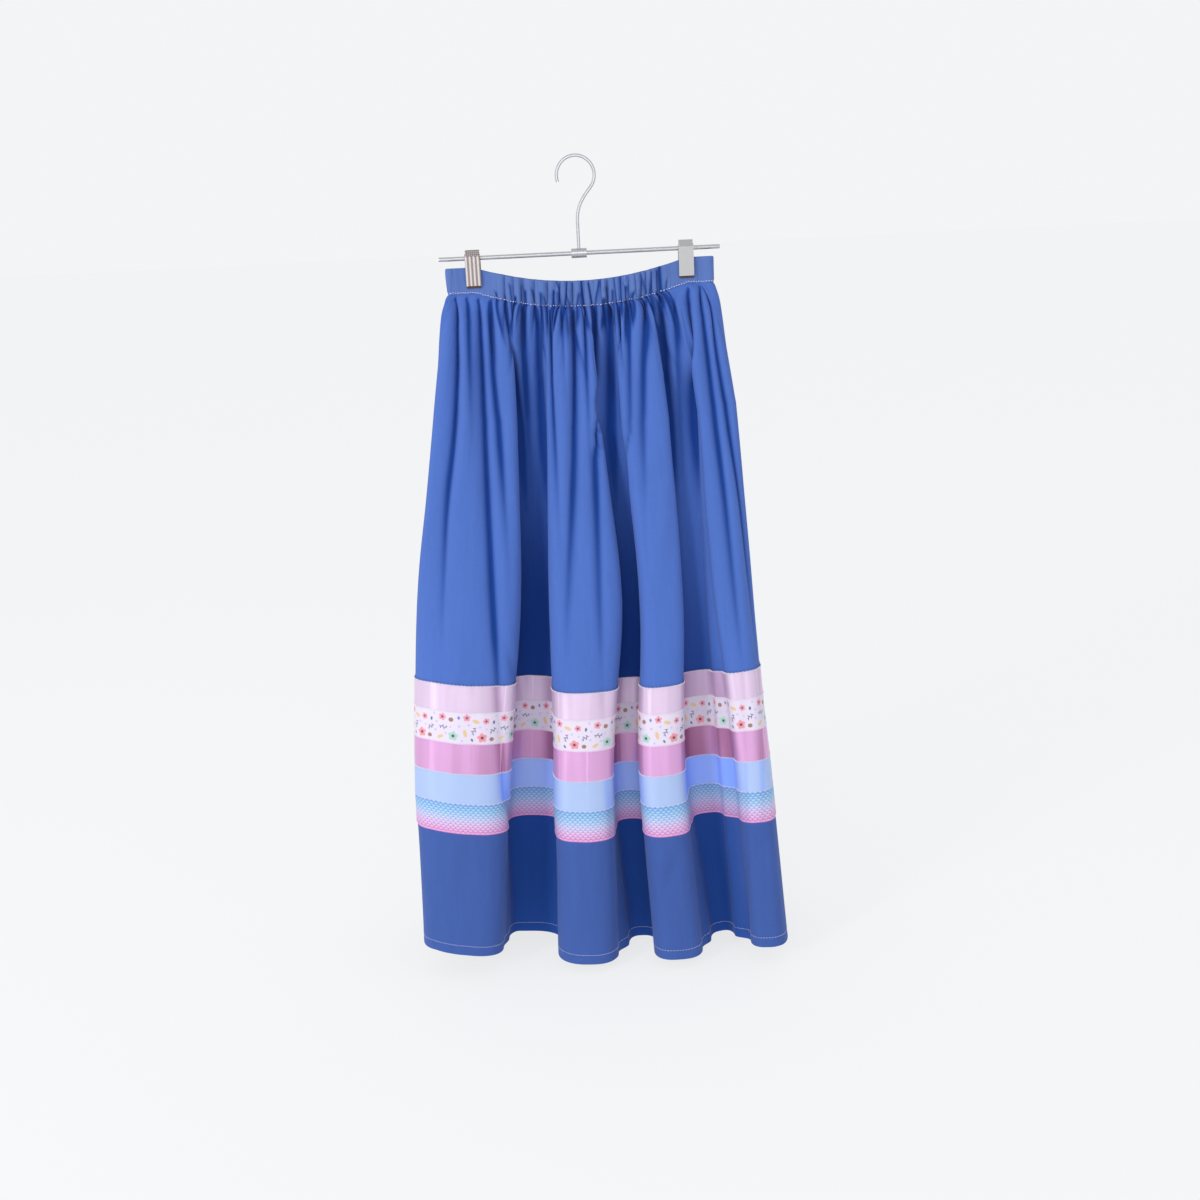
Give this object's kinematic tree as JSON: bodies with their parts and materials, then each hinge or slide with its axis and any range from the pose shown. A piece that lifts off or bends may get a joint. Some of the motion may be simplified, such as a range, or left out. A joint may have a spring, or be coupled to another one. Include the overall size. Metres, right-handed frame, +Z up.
{
  "type": "ribbon skirt on a clip hanger",
  "caption": "Long gathered blue cotton skirt with five sewn ribbon bands above the hem, hanging from the spring clips of a plain wire hanger.",
  "frame": {"origin": "inside top of the hanger's hook, where a rail carries it", "axes": "+Z up; the front of the skirt faces -Y; +X to the right as seen from the front"},
  "size_m": [0.4702, 0.1972, 0.9876],
  "materials": {
    "blue_cotton": "matt plain-weave cotton",
    "ribbon_pale_pink": "satin",
    "ribbon_floral": "smooth woven, printed with small flowers",
    "ribbon_rose": "satin",
    "ribbon_sky_blue": "matt satin",
    "ribbon_scale": "smooth woven, printed with scales from turquoise to pink",
    "hanger_steel": "satin bright steel",
    "clip_rubber": "matt dark rubber"
  },
  "bodies": {
    "root": {"panel_front": "blue_cotton", "waist_casing_front": "blue_cotton", "hem_turn_front": "blue_cotton", "ribbon_1_pale_pink_front": "ribbon_pale_pink", "ribbon_2_floral_front": "ribbon_floral", "ribbon_3_rose_front": "ribbon_rose", "ribbon_4_sky_blue_front": "ribbon_sky_blue", "ribbon_5_scale_front": "ribbon_scale", "panel_back": "blue_cotton", "waist_casing_back": "blue_cotton", "hem_turn_back": "blue_cotton", "ribbon_1_pale_pink_back": "ribbon_pale_pink", "ribbon_2_floral_back": "ribbon_floral", "ribbon_3_rose_back": "ribbon_rose", "ribbon_4_sky_blue_back": "ribbon_sky_blue", "ribbon_5_scale_back": "ribbon_scale", "hanger_bar": "hanger_steel", "hanger_boss": "hanger_steel", "hanger_hook": "hanger_steel", "clip_left_jaw_front": "hanger_steel", "clip_left_jaw_back": "hanger_steel", "clip_left_spring": "hanger_steel", "clip_left_pad_front": "clip_rubber", "clip_left_pad_back": "clip_rubber", "clip_right_jaw_front": "hanger_steel", "clip_right_jaw_back": "hanger_steel", "clip_right_spring": "hanger_steel", "clip_right_pad_front": "clip_rubber", "clip_right_pad_back": "clip_rubber"}
  },
  "joints": []
}
